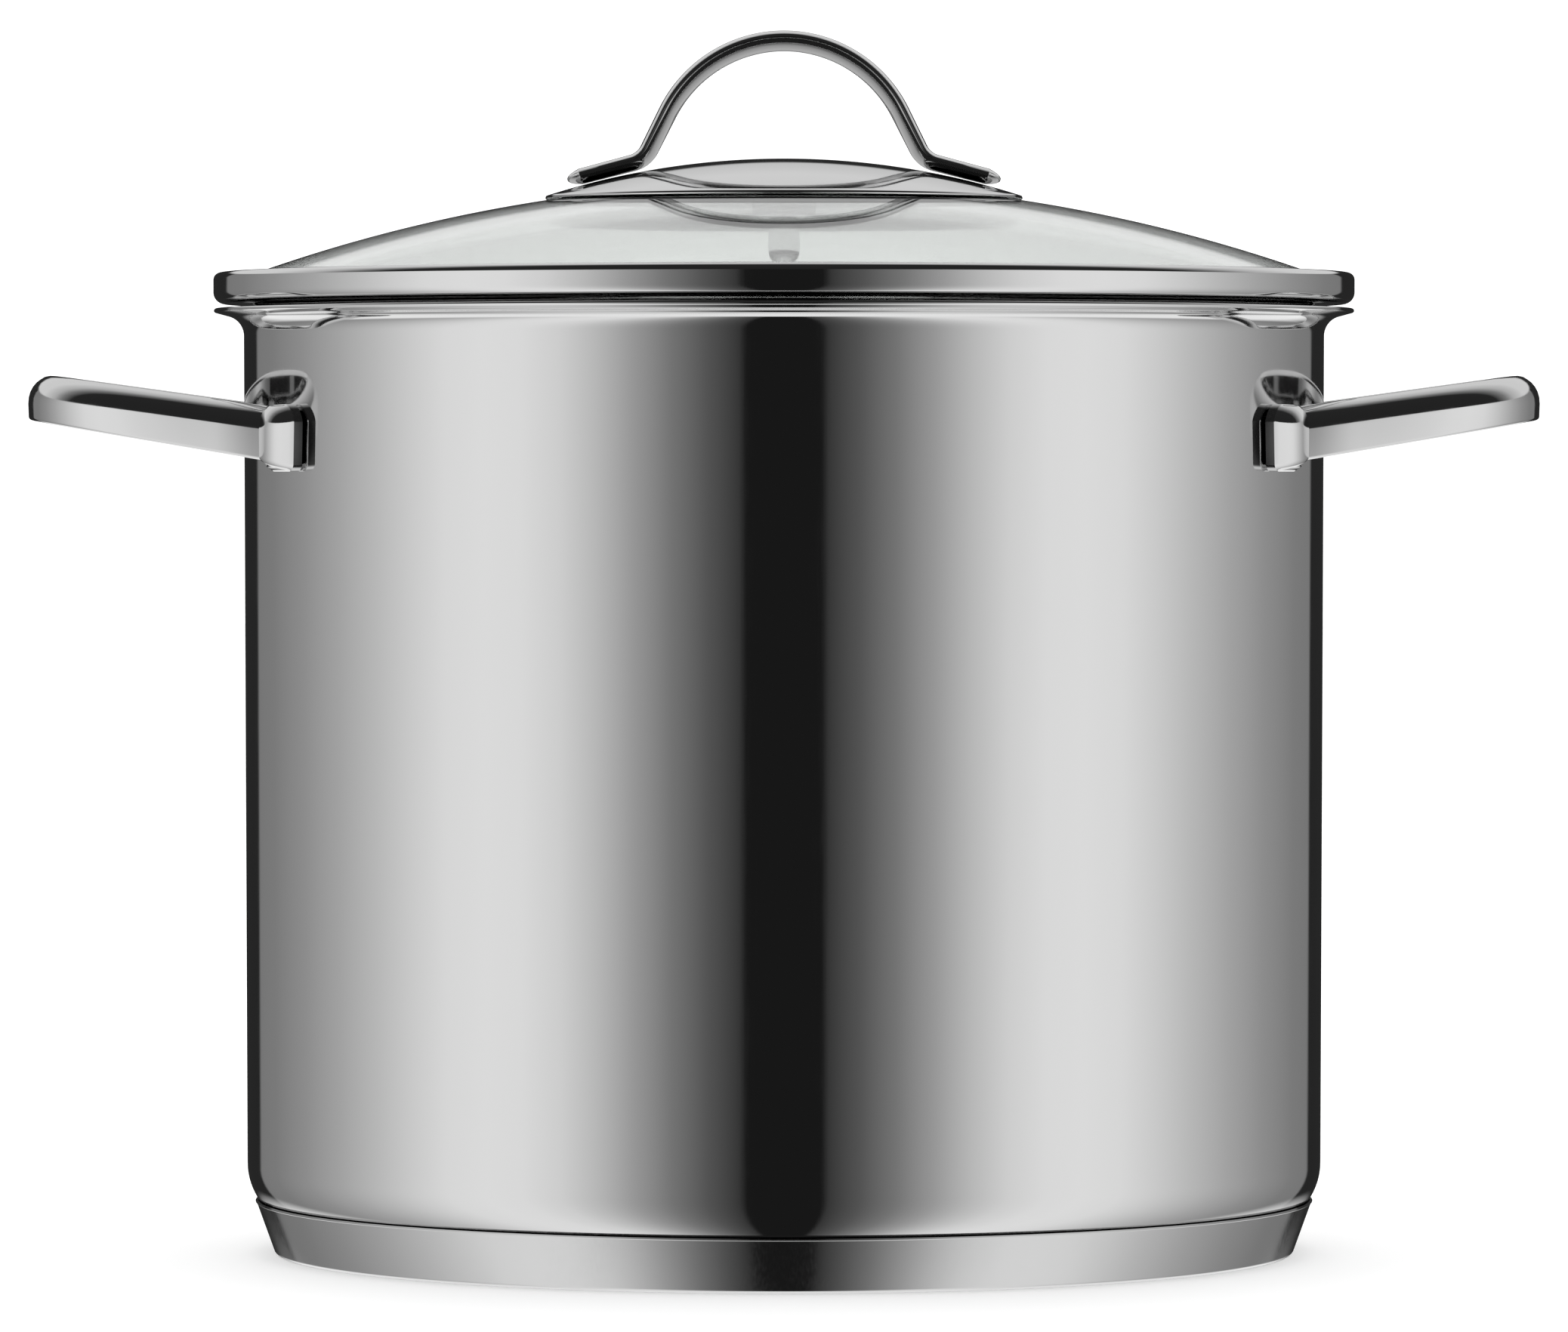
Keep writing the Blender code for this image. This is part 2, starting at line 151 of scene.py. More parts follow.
def steelFinish(name, tone, rough, linePull, lineDepth, waveDepth):
    # stainless sheet: fine polishing lines, slow waves left by the press, and an uneven roughness
    look = steelLook
    smearLow, smearHigh = look["smearRange"]
    calm, busy = look["roughRange"]
    made, tree, shader = newMaterial(name)
    shader.inputs["Metallic"].default_value = 1.0
    shader.inputs["Base Color"].default_value = linearColour(tone)
    place = addNode(tree, "ShaderNodeTexCoord").outputs["Object"]
    pulled = addNode(tree, "ShaderNodeMapping", {"Scale": linePull}, Vector=place).outputs[0]
    lines = addNode(
        tree, "ShaderNodeTexNoise", {"Scale": 1 / (look["lineGap"] * mm), "Detail": 3.0}, Vector=pulled)
    wave = addNode(
        tree, "ShaderNodeTexNoise", {"Scale": 1 / (look["waveGap"] * mm), "Detail": 1.0}, Vector=place)
    smear = addNode(
        tree, "ShaderNodeTexNoise", {"Scale": 1 / (look["smearGap"] * mm), "Detail": 5.0}, Vector=place)
    blend = addNode(
        tree, "ShaderNodeMath", {"operation": "MULTIPLY"}, in0=lines.outputs[0], in1=smear.outputs[0])
    spread = addNode(
        tree, "ShaderNodeMapRange",
        {"From Min": smearLow, "From Max": smearHigh, "To Min": rough * calm, "To Max": rough * busy},
        Value=blend.outputs[0])
    tree.links.new(spread.outputs[0], shader.inputs["Roughness"])
    slow = addNode(
        tree, "ShaderNodeBump", {"Strength": 1.0, "Distance": waveDepth * mm}, Height=wave.outputs[0])
    fine = addNode(
        tree, "ShaderNodeBump", {"Strength": 1.0, "Distance": lineDepth * mm},
        Height=lines.outputs[0], Normal=slow.outputs[0])
    tree.links.new(fine.outputs[0], shader.inputs["Normal"])
    return made


def temperedGlass():
    # clear soda-lime glass: sharp reflections, a trace of green, faint waves and a thin film of handling
    waveGap, waveDepth, filmGap, filmRough = 60, 0.02, 9, 0.03
    made, tree, shader = newMaterial("temperedGlass")
    shader.inputs["Base Color"].default_value = linearColour("#ebeeec")
    shader.inputs["IOR"].default_value = 1.5
    shader.inputs["Transmission Weight"].default_value = 1.0
    place = addNode(tree, "ShaderNodeTexCoord").outputs["Object"]
    wave = addNode(tree, "ShaderNodeTexNoise", {"Scale": 1 / (waveGap * mm), "Detail": 1.0}, Vector=place)
    film = addNode(tree, "ShaderNodeTexNoise", {"Scale": 1 / (filmGap * mm), "Detail": 4.0}, Vector=place)
    spread = addNode(tree, "ShaderNodeMapRange", {"To Min": 0.0, "To Max": filmRough}, Value=film.outputs[0])
    tree.links.new(spread.outputs[0], shader.inputs["Roughness"])
    bump = addNode(
        tree, "ShaderNodeBump", {"Strength": 1.0, "Distance": waveDepth * mm}, Height=wave.outputs[0])
    tree.links.new(bump.outputs[0], shader.inputs["Normal"])
    return made


def siliconeRubber():
    # moulded silicone: soft, dark, slightly dusty, with a fine mould grain
    dustGap, grainGap, grainDepth = 3, 0.3, 0.03
    made, tree, shader = newMaterial("siliconeRubber")
    shader.inputs["IOR"].default_value = 1.41
    place = addNode(tree, "ShaderNodeTexCoord").outputs["Object"]
    dust = addNode(tree, "ShaderNodeTexNoise", {"Scale": 1 / (dustGap * mm), "Detail": 4.0}, Vector=place)
    tone = addNode(tree, "ShaderNodeMix", {"data_type": "RGBA"}, in0=dust.outputs[0])
    tone.inputs[6].default_value = linearColour("#2b2b2b")
    tone.inputs[7].default_value = linearColour("#454545")
    tree.links.new(tone.outputs[2], shader.inputs["Base Color"])
    spread = addNode(tree, "ShaderNodeMapRange", {"To Min": 0.45, "To Max": 0.7}, Value=dust.outputs[0])
    tree.links.new(spread.outputs[0], shader.inputs["Roughness"])
    grain = addNode(tree, "ShaderNodeTexNoise", {"Scale": 1 / (grainGap * mm), "Detail": 2.0}, Vector=place)
    bump = addNode(
        tree, "ShaderNodeBump", {"Strength": 0.4, "Distance": grainDepth * mm}, Height=grain.outputs[0])
    tree.links.new(bump.outputs[0], shader.inputs["Normal"])
    return made


def facedAluminium():
    # disc faced on a lathe: fine rings about the pot's axis
    rough, calm, busy = 0.4, 0.8, 1.3
    ringGap, depth, smearGap = 0.5, 0.01, 20
    waveRate = 20  # the wave texture's own multiplier
    made, tree, shader = newMaterial("facedAluminium")
    shader.inputs["Metallic"].default_value = 1.0
    shader.inputs["Base Color"].default_value = linearColour("#d0d1d2")
    place = addNode(tree, "ShaderNodeTexCoord").outputs["Object"]
    rings = addNode(
        tree, "ShaderNodeTexWave",
        {"wave_type": "RINGS", "rings_direction": "Z", "Scale": 1 / (ringGap * mm) / waveRate,
         "Distortion": 0.4, "Detail": 2.0}, Vector=place)
    smear = addNode(tree, "ShaderNodeTexNoise", {"Scale": 1 / (smearGap * mm), "Detail": 4.0}, Vector=place)
    spread = addNode(
        tree, "ShaderNodeMapRange", {"To Min": rough * calm, "To Max": rough * busy}, Value=smear.outputs[0])
    tree.links.new(spread.outputs[0], shader.inputs["Roughness"])
    bump = addNode(
        tree, "ShaderNodeBump", {"Strength": 0.5, "Distance": depth * mm}, Height=rings.outputs[0])
    tree.links.new(bump.outputs[0], shader.inputs["Normal"])
    return made


mirrorSteel = steelFinish("mirrorPolishedSteel", "#dcdcdc", 0.05, (1.0, 1.0, 0.04), 0.0006, 0.004)
handleSteel = steelFinish("buffedHandleSteel", "#dadada", 0.07, (0.1, 0.1, 1.0), 0.0006, 0.002)
capSteel = steelFinish("pressedBaseSteel", "#d4d4d4", 0.12, (1.0, 1.0, 0.06), 0.0008, 0.003)
coreAluminium = facedAluminium()
clearGlass = temperedGlass()
silicone = siliconeRubber()


# pot body

potShell = {
    "wall": 1.0, "wallRadius": 120.8, "lowRadius": 120.2, "corner": 14.3, "fillet": 4.5, "lipSlope": 15.0}


def makePotShell():
    size = potShell
    low, high = boxInMm("pot_shell")
    wall = size["wall"]
    slope = math.radians(size["lipSlope"])
    turn = 90 - size["lipSlope"]
    lipRadius = high.x
    edge = wall / 2
    underZ = high.z - wall * math.cos(slope)
    reach = lipRadius - size["wallRadius"] - size["fillet"] * (1 - math.cos(math.radians(turn)))
    filletZ = underZ - size["fillet"] * math.sin(math.radians(turn)) - reach * math.tan(slope)
    filletX = size["wallRadius"] + size["fillet"]
    edgeX = lipRadius - edge
    underX = edgeX + edge * math.sin(slope)
    lipZ = underZ - (lipRadius - underX) * math.tan(slope)
    edgeZ = lipZ + edge * math.cos(slope)
    inner = size["fillet"] + wall
    back = math.radians(180 - turn)
    cornerX = size["lowRadius"] - size["corner"]
    cornerZ = low.z + size["corner"]
    bm = drawOutline([
        (0, low.z), (cornerX, low.z), (cornerX, cornerZ, -90, 20),
        (size["wallRadius"], filletZ), (filletX, filletZ, turn, 12),
        (underX, lipZ), (edgeX, edgeZ, -180, 6),
        (filletX + inner * math.cos(back), filletZ + inner * math.sin(back)), (filletX, filletZ, -turn, 12),
        (size["lowRadius"] - wall, cornerZ), (cornerX, cornerZ, 90, 20),
        (0, low.z + wall)])
    turnOutline(bm, wideTurn)
    settle(bm, "potShell", mirrorSteel, "pot", ["pot_shell"])


baseCap = {
    "taper": 20.6, "sheet": 0.6, "edge": 1.2, "hem": 0.25, "grooves": (28.0, 60.0, 92.0), "groove": 0.35,
    "cornerShare": 0.6}


def makeBaseCap():
    size = baseCap
    high = boxInMm("base_cap")[1]
    lean = math.radians(size["taper"])
    side = size["sheet"] / math.cos(lean)
    foot = high.x - high.z * math.tan(lean)
    hem = size["hem"]
    deep = size["groove"]
    moves = [(0, 0)]
    for radius in size["grooves"]:  # stamped rings in the underside
        moves += [(radius - 2 * deep, 0), (radius - deep, deep)]
        moves += [(radius + deep, deep), (radius + 2 * deep, 0)]
    edge = size["edge"]
    edgeX = foot + edge * math.tan(lean) - edge
    moves += [(edgeX, 0), (edgeX, edge, -(90 - size["taper"]), 8)]
    moves += [(high.x - hem, high.z - 2 * hem), (high.x - hem, high.z - hem, -90, 4)]
    moves += [(high.x - side + hem / 2, high.z), (high.x - side, high.z - hem)]
    moves += [(edgeX + edge * math.cos(lean) - side, edge + size["sheet"] * size["cornerShare"])]
    moves += [(edgeX - side, size["sheet"] + deep), (0, size["sheet"] + deep)]
    bm = drawOutline(moves)
    turnOutline(bm, wideTurn)
    settle(bm, "baseCap", capSteel, "pot", ["base_cap"], sharp=30)


# lid

lidGlass = {"dome": 352.8, "thick": 4.0, "hole": 4.3, "arris": 0.7, "arrisFall": 1.2}


def glassApex():  # top of the glass dome if it had no hole
    return boxInMm("lid_glass")[1].z + domeDrop(lidGlass["hole"], lidGlass["dome"])


def makeLidGlass():
    size = lidGlass
    dome = size["dome"]
    hole = size["hole"]
    arris = size["arris"]
    fall = size["arrisFall"] * arris
    radius = boxInMm("lid_glass")[1].x
    apex = glassApex()
    centre = apex - dome
    inner = dome - size["thick"]
    sweepOut = domeAngle(radius - arris, dome) - domeAngle(hole, dome)
    sweepIn = domeAngle(radius - arris, inner) - domeAngle(hole, inner)
    outZ = apex - domeDrop(radius - arris, dome)
    inZ = apex - size["thick"] - domeDrop(radius - arris, inner)
    bm = drawOutline([
        (hole, apex - domeDrop(hole, dome)), (0, centre, sweepOut, 48),
        (radius, outZ - fall), (radius, inZ + fall), (radius - arris, inZ),
        (0, centre, -sweepIn, 48)], closed=True)
    turnOutline(bm, wideTurn)
    settle(bm, "lidGlass", clearGlass, "lid", ["lid_glass"])


lidRing = {
    "sheet": 0.6, "roundTop": 1.6, "roundLow": 2.6, "skirt": 6.0, "skirtGap": 1.4, "skirtEnd": 0.2,
    "tuck": 0.3, "fillet": 0.8, "lip": 117.7, "lipFlat": 2.4, "lipEdge": (0.05, 0.12), "lipInside": 119.5,
    "lipRise": 0.02}


def skirtRadius():  # outside of the skirt that drops into the pot
    return potShell["wallRadius"] - potShell["wall"] - lidRing["skirtGap"]


def makeLidRing():
    size = lidRing
    low, high = boxInMm("lid_ring")
    sheet = size["sheet"]
    roundTop = size["roundTop"]
    roundLow = size["roundLow"]
    fillet = size["fillet"]
    lip = size["lip"]
    lipIn, lipDown = size["lipEdge"]
    bottom = low.z + size["skirt"]
    topFlat = high.z - size["tuck"]
    skirt = skirtRadius()
    skirtZ = low.z + size["skirtEnd"]
    bm = drawOutline([
        (skirt, skirtZ), (skirt, bottom - fillet), (skirt + fillet, bottom - fillet, 90, 5),
        (high.x - roundLow, bottom), (high.x - roundLow, bottom + roundLow, -90, 12),
        (high.x, topFlat - roundTop), (high.x - roundTop, topFlat - roundTop, -90, 12),
        (lip + size["lipFlat"], high.z), (lip, high.z), (lip - lipIn, high.z - lipDown),
        (size["lipInside"], high.z - sheet + size["lipRise"]),
        (high.x - roundTop, topFlat - sheet), (high.x - roundTop, topFlat - roundTop, 90, 8),
        (high.x - sheet, bottom + roundLow), (high.x - roundLow, bottom + roundLow, 90, 8),
        (skirt - sheet, bottom + sheet), (skirt - sheet, skirtZ), (skirt - sheet / 2, skirtZ, -180, 6)])
    bmesh.ops.remove_doubles(bm, verts=bm.verts, dist=0.001)
    turnOutline(bm, wideTurn)
    settle(bm, "lidRing", mirrorSteel, "lid", ["lid_ring"], sharp=30)


capPlate = {"dome": 174.0, "sheet": 0.8, "round": 0.35, "nick": 0.1}


def makeCapPlate():
    size = capPlate
    low, high = boxInMm("lid_cap_plate")
    dome = size["dome"]
    bend = size["round"]
    nick = size["nick"]
    inner = dome - size["sheet"]
    rim = high.x
    innerRim = rim - size["sheet"]
    shoulder = rim - 0.3 * bend
    out = domeAngle(rim - bend, dome)
    back = domeAngle(innerRim, inner)
    bm = drawOutline([  # the rim rolls over in short flats
        (0, high.z), (0, high.z - dome, out, 40),
        (shoulder, high.z - domeDrop(shoulder, dome) - 0.1 * bend),
        (rim, high.z - domeDrop(rim, dome) - 0.8 * bend), (rim, low.z + nick), (rim - nick, low.z),
        (innerRim, low.z), (innerRim, high.z - size["sheet"] - domeDrop(innerRim, inner)),
        (0, high.z - dome, -back, 32)])
    turnOutline(bm, plateTurn)
    settle(bm, "capPlate", mirrorSteel, "lid", ["lid_cap_plate"], sharp=45)


ringSeal = {"inset": 0.6, "topGap": 0.6, "bevel": 1.3}


def makeRingSeal():  # bedding strip in the ring's channel
    size = ringSeal
    bevel = size["bevel"]
    low, high = boxInMm("lid_seal")
    underside = lidGlass["dome"] - lidGlass["thick"]
    underApex = glassApex() - lidGlass["thick"]
    inside = skirtRadius() + size["inset"]
    edge = boxInMm("lid_glass")[1].x + gap
    bm = drawOutline([
        (inside, low.z), (high.x - bevel, low.z), (high.x, low.z + bevel), (high.x, high.z), (edge, high.z),
        (edge, underApex - domeDrop(edge, underside) - gap),
        (inside, underApex - domeDrop(inside, underside) - size["topGap"])], closed=True)
    turnOutline(bm, plateTurn)
    settle(bm, "ringSeal", silicone, "lid", ["lid_seal"])


plateGasket = {"width": 6.0}


def makePlateGasket():  # between the glass and the cap plate
    apex = glassApex()
    dome = lidGlass["dome"]
    plateApex = boxInMm("lid_cap_plate")[1].z - capPlate["sheet"]
    plateDome = capPlate["dome"] - capPlate["sheet"]
    outer = boxInMm("plate_gasket")[1].x
    inner = outer - plateGasket["width"]
    bm = drawOutline([
        (inner, apex - domeDrop(inner, dome) + gap), (outer, apex - domeDrop(outer, dome) + gap),
        (outer, plateApex - domeDrop(outer, plateDome) - gap),
        (inner, plateApex - domeDrop(inner, plateDome) - gap)], closed=True)
    turnOutline(bm, plateTurn)
    settle(bm, "plateGasket", silicone, "lid", ["plate_gasket"])


fastener = {"bore": 2.8, "chamfer": 0.25}
handleStud = {
    "pitch": 0.8, "flank": 0.2, "root": 2.05, "crest": 2.5, "neck": 2.4,
    "end": 2.1, "point": 1.8, "lead": 0.4}


def makeStud():
    size = handleStud
    chamfer = fastener["chamfer"]
    pitch = size["pitch"]
    low, high = boxInMm("lid_stud")
    shoulder = boxInMm("glass_bush")[1].z + gap
    moves = [(0, high.z), (high.x - chamfer, high.z), (high.x, high.z - chamfer)]
    moves += [(high.x, shoulder + chamfer), (high.x - chamfer, shoulder), (size["neck"], shoulder)]
    z = shoulder - pitch
    while z > low.z + pitch:  # thread as a run of ridges
        moves += [(size["root"], z + size["flank"]), (size["crest"], z - size["flank"])]
        z -= pitch
    moves += [(size["end"], low.z + size["lead"]), (size["point"], low.z), (0, low.z)]
    bm = drawOutline(moves)
    turnOutline(bm, studTurn)
    settle(bm, "handleStud", handleSteel, "lid", ["lid_stud"], sharp=30)


glassBush = {"neck": 4.0}


def makeBush():  # lines the hole in the glass, with a collar on top of it
    neck = glassBush["neck"]
    bore = fastener["bore"]
    chamfer = fastener["chamfer"]
    low, high = boxInMm("glass_bush")
    top = glassApex() + gap
    bm = drawOutline([
        (bore, low.z), (neck, low.z), (neck, top), (high.x - chamfer, top), (high.x, top + chamfer),
        (high.x, high.z - chamfer), (high.x - chamfer, high.z), (bore, high.z)], closed=True)
    turnOutline(bm, studTurn)
    settle(bm, "glassBush", silicone, "lid", ["glass_bush"], sharp=30)


def makeWasher(name, node, material):
    bore = fastener["bore"]
    chamfer = fastener["chamfer"]
    low, high = boxInMm(node)
    bm = drawOutline([
        (bore, low.z), (high.x - chamfer, low.z), (high.x, low.z + chamfer), (high.x, high.z - chamfer),
        (high.x - chamfer, high.z), (bore, high.z)], closed=True)
    turnOutline(bm, smallTurn)
    settle(bm, name, material, "lid", [node], sharp=30)


capNut = {"grooveLow": 1.4, "grooveHigh": 0.8, "grooveBevel": 0.2, "grooveDepth": 0.25}


def makeNut():
    size = capNut
    bore = fastener["bore"]
    chamfer = fastener["chamfer"]
    bevel = size["grooveBevel"]
    low, high = boxInMm("cap_nut")
    radius = high.x
    waist = radius - size["grooveDepth"]
    grooveLow = high.z - size["grooveLow"]
    grooveHigh = high.z - size["grooveHigh"]
    pocket = boxInMm("lid_stud")[0].z - gap
    bm = drawOutline([
        (0, low.z), (0, low.z + radius, -90, 16), (radius, grooveLow), (waist, grooveLow + bevel),
        (waist, grooveHigh - bevel), (radius, grooveHigh), (radius, high.z - chamfer),
        (radius - chamfer, high.z), (bore, high.z), (bore, pocket), (0, pocket)])
    turnOutline(bm, smallTurn)
    settle(bm, "capNut", handleSteel, "lid", ["cap_nut"], sharp=30)


# swept pieces: a ring of edges is extruded along its route and set to each station's section

def sweepRings(bm, rings):  # rings hold equal counts of points, all drawn the same way round
    verts = [bm.verts.new(point) for point in rings[0]]
    edges = [bm.edges.new((verts[at - 1], verts[at])) for at in range(len(verts))]
    bmesh.ops.contextual_create(bm, geom=edges)
    for ring in rings[1:]:
        grown = bmesh.ops.extrude_edge_only(bm, edges=edges)["geom"]
        fresh = {}
        for item in grown:
            if isinstance(item, bmesh.types.BMVert):
                fresh[tuple(round(c, 4) for c in item.co)] = item
        newVerts = [fresh[tuple(round(c, 4) for c in vert.co)] for vert in verts]
        for vert, point in zip(newVerts, ring):
            vert.co = point
        verts = newVerts
        edges = [bm.edges.get((verts[at - 1], verts[at])) for at in range(len(verts))]
    bmesh.ops.contextual_create(bm, geom=edges)


sideHandle = {
    "footAngle": 27.0, "footWidth": 15.0, "footHeight": 15.0, "footBottom": 174.9, "seat": 0.3, "flange": 2.4,
    "footShoulder": 3.4, "footEase": 1.6, "footBarrel": 1.3, "footArch": 1.0, "footDome": 1.3, "crisp": 0.18,
    "bandWidth": 7.5, "bandHeight": 12.1, "bandHeightTip": 10.7, "bandBarrel": 0.15, "ease": 0.7,
    "shoulder": 5.6, "shoulderTip": 7.2, "tipFlat": 1.2, "tipTurn": 1.5, "tipPull": 38.0, "rise": 9.4,
    "armShift": 4.0, "armClear": 0.5, "armSeat": 2.2, "armToeIn": 22.0, "armPull": 40.0, "startPace": 0.6,
    "neckShare": 0.012, "neckInset": 0.8, "neckFade": 0.09}


def bandSection(width, height, shoulder, shoulderUp, ease, barrel, arch):
    # (across from the outer face, up) round the band's outline, four corner arcs
    cornerSteps = 8
    blunt = min(ease * 1.6, width / 4)
    corners = [  # centre across, centre up, radii across and up, start angle
        (ease, ease, ease, ease, 270), (shoulder, height - shoulderUp, shoulder, shoulderUp, 180),
        (width - blunt, height - blunt, blunt, blunt, 90), (width - blunt, blunt, blunt, blunt, 0)]
    points = []
    for across, up, radiusAcross, radiusUp, start in corners:
        for step in range(cornerSteps + 1):
            angle = math.radians(start - 90 * step / cornerSteps)
            points.append([across + radiusAcross * math.cos(angle), up + radiusUp * math.sin(angle)])
    middle = height / 2
    for point in points:  # upright sides bow outwards, the top arches
        side = -1 if point[0] < width / 2 else 1
        off = (2 * point[0] / width - 1) ** 2
        point[0] += side * barrel * (1 - ((point[1] - middle) / middle) ** 2) - side * barrel
        point[1] -= arch * off * point[1] / height
    return points


def bandPath(size):  # plan route of the near half, outwards from the foot
    tip = boxInMm("handle_right")[1].x - size["bandWidth"] / 2
    angle = math.radians(size["footAngle"])
    normal = Vector((math.cos(angle), -math.sin(angle)))
    near = Vector((normal.y, -normal.x))
    back = potShell["wallRadius"] + size["seat"]
    start = normal * (back + size["flange"] + size["armClear"]) - near * size["armShift"]
    toeIn = math.radians(size["armToeIn"])
    pull = start + Vector((math.cos(toeIn), math.sin(toeIn))) * size["armPull"]
    return back, normal, near, (start, pull, Vector((tip, -size["tipPull"])), Vector((tip, 0)))


def bezierAt(points, t):
    a, b, c, d = points
    place = a * (1 - t) ** 3 + b * 3 * t * (1 - t) ** 2 + c * 3 * t * t * (1 - t) + d * t ** 3
    way = (b - a) * (1 - t) ** 2 + (c - b) * 2 * t * (1 - t) + (d - c) * t * t
    return place, way.normalized()


def makeSideHandle(name, node, side):
    size = sideHandle
    back, normal, near, curve = bandPath(size)
    start = curve[0]
    tip = curve[3]
    rise = math.tan(math.radians(size["rise"]))
    armLow = size["footBottom"] + size["armSeat"]

    def flangeRing(out, shrink):
        outline = bandSection(
            size["footWidth"] - 2 * shrink, size["footHeight"] - 2 * shrink, size["footShoulder"],
            size["footShoulder"], size["footEase"], size["footBarrel"], size["footArch"])
        place = normal * (back + out) + near * (size["footWidth"] / 2 - shrink)
        bottom = size["footBottom"] + shrink
        return [Vector((*(place - near * across), bottom + up)) for across, up in outline]

    def armRing(t):
        place, way = bezierAt(curve, t)
        outward = Vector((way.y, -way.x))
        fade = max(0.0, 1 - (t - size["neckShare"]) / size["neckFade"]) ** 2
        place = place - outward * (size["neckInset"] * fade)
        share = (place.x - start.x) / (tip.x - start.x)
        height = size["bandHeight"] + (size["bandHeightTip"] - size["bandHeight"]) * share
        turned = max(outward.x, 0.0) ** size["tipTurn"]
        shoulder = size["shoulder"] + (size["bandWidth"] - size["tipFlat"] - size["shoulder"]) * turned
        shoulderUp = size["shoulder"] + (size["shoulderTip"] - size["shoulder"]) * turned
        outline = bandSection(
            size["bandWidth"], height, shoulder, shoulderUp, size["ease"], size["bandBarrel"], 0.0)
        ring = []
        for across, up in outline:
            spot = place + outward * (size["bandWidth"] / 2 - across)
            ring.append(Vector((spot.x, spot.y, armLow + up + (spot.x - start.x) * rise)))
        return ring

    crisp = size["crisp"]
    rings = [flangeRing(0, crisp), flangeRing(crisp, 0), flangeRing(size["flange"] - crisp, 0)]
    face = flangeRing(size["flange"], crisp)
    rings.append(face)
    neck = armRing(size["neckShare"])
    out = Vector((*normal, 0))
    domeSteps = 12
    for step in range(1, domeSteps + 1):  # the foot's face domes up to the neck where the arm leaves it
        along = step / domeSteps
        lift = out * (size["footDome"] * math.sin(math.pi * along))
        rings.append([a.lerp(b, along) + lift for a, b in zip(face, neck)])
    armSteps = 44
    pace = size["startPace"]
    for step in range(1, armSteps + 1):
        along = step / armSteps
        share = (1 - pace) * along * along + pace * along
        rings.append(armRing(size["neckShare"] + (1 - size["neckShare"]) * share))
    rings += [[Vector((p.x, -p.y, p.z)) for p in ring] for ring in reversed(rings[:-1])]
    bm = bmesh.new()
    sweepRings(bm, [[(side * p.x, p.y, p.z) for p in ring] for ring in rings])
    settle(bm, name, handleSteel, "pot", [node], sharp=40)


bowHandle = {
    "thick": 4.7, "thickFoot": 3.6, "width": 8.8, "egg": 0.25, "eggTrim": 1.1, "arch": 29.15, "bend": 5.9,
    "legSlope": 63.4, "legLength": 9.1, "footSlope": 14.6, "footLength": 12.1,
    "endDome": 2.9, "endFacet": 48.0, "endRim": 0.1, "endShrink": 0.97}


def bowPath(size):  # half of the bow from its top: (along, drop, slope in radians) at each station
    archSteps, bendSteps, straightSteps = 32, 12, 6
    leg = math.radians(size["legSlope"])
    foot = math.radians(size["footSlope"])
    path = []

    def runStraight(slope, length):
        along, drop = path[-1][:2]
        for step in range(1, straightSteps + 1):
            run = length * step / straightSteps
            path.append((along + run * math.cos(slope), drop + run * math.sin(slope), slope))

    for step in range(archSteps + 1):
        slope = leg * step / archSteps
        path.append((size["arch"] * math.sin(slope), size["arch"] * (1 - math.cos(slope)), slope))
    runStraight(leg, size["legLength"])
    along, drop = path[-1][:2]
    for step in range(1, bendSteps + 1):
        slope = leg + (foot - leg) * step / bendSteps
        path.append((along + size["bend"] * (math.sin(leg) - math.sin(slope)),
                     drop + size["bend"] * (math.cos(slope) - math.cos(leg)), slope))
    runStraight(foot, size["footLength"])
    return path


def makeBowHandle():
    size = bowHandle
    top = boxInMm("lid_handle")[1].z - size["thick"] / 2
    path = bowPath(size)
    last = len(path) - 1
    sectionSteps, endSteps = 36, 8
    facet = math.radians(size["endFacet"])

    def section(side, along, drop, slope, thick, width):
        ring = []
        for step in range(sectionSteps):
            angle = math.tau * step / sectionSteps
            across = width / 2 * (math.sin(angle) + size["egg"] * math.sin(2 * angle)) / size["eggTrim"]
            up = thick / 2 * math.cos(angle)
            ring.append((side * (along + up * math.sin(slope)), across, top - drop + up * math.cos(slope)))
        return ring

    halves = []
    for side in (1, -1):
        rings = []
        for step, (along, drop, slope) in enumerate(path):
            thin = (step / last) ** 2
            thick = size["thick"] + (size["thickFoot"] - size["thick"]) * thin
            rings.append(section(side, along, drop, slope, thick, size["width"]))
        along, drop, slope = path[-1]
        for step in range(endSteps):  # cut end, slightly domed inside a crisp edge
            angle = facet * (1 - step / endSteps)
            bulge = (math.cos(angle) - math.cos(facet)) / (1 - math.cos(facet))
            out = size["endRim"] + size["endDome"] * bulge
            shrink = size["endShrink"] * math.sin(angle) / math.sin(facet)
            rings.append(section(
                side, along + out * math.cos(slope), drop + out * math.sin(slope), slope,
                size["thickFoot"] * shrink, size["width"] * shrink))
        halves.append(rings)
    bm = bmesh.new()
    sweepRings(bm, list(reversed(halves[1][1:])) + halves[0])
    settle(bm, "bowHandle", handleSteel, "lid", ["lid_handle"], sharp=33)


makePotShell()
makeBaseCap()
makeSideHandle("loopHandleRight", "handle_right", 1)
makeSideHandle("loopHandleLeft", "handle_left", -1)
print("stage: pot body made")
makeLidGlass()
makeLidRing()
makeCapPlate()
makeRingSeal()
makePlateGasket()
makeStud()
makeBush()
makeWasher("softWasher", "rubber_washer", silicone)
makeWasher("flatWasher", "steel_washer", handleSteel)
makeNut()
makeBowHandle()
print("stage: lid made")

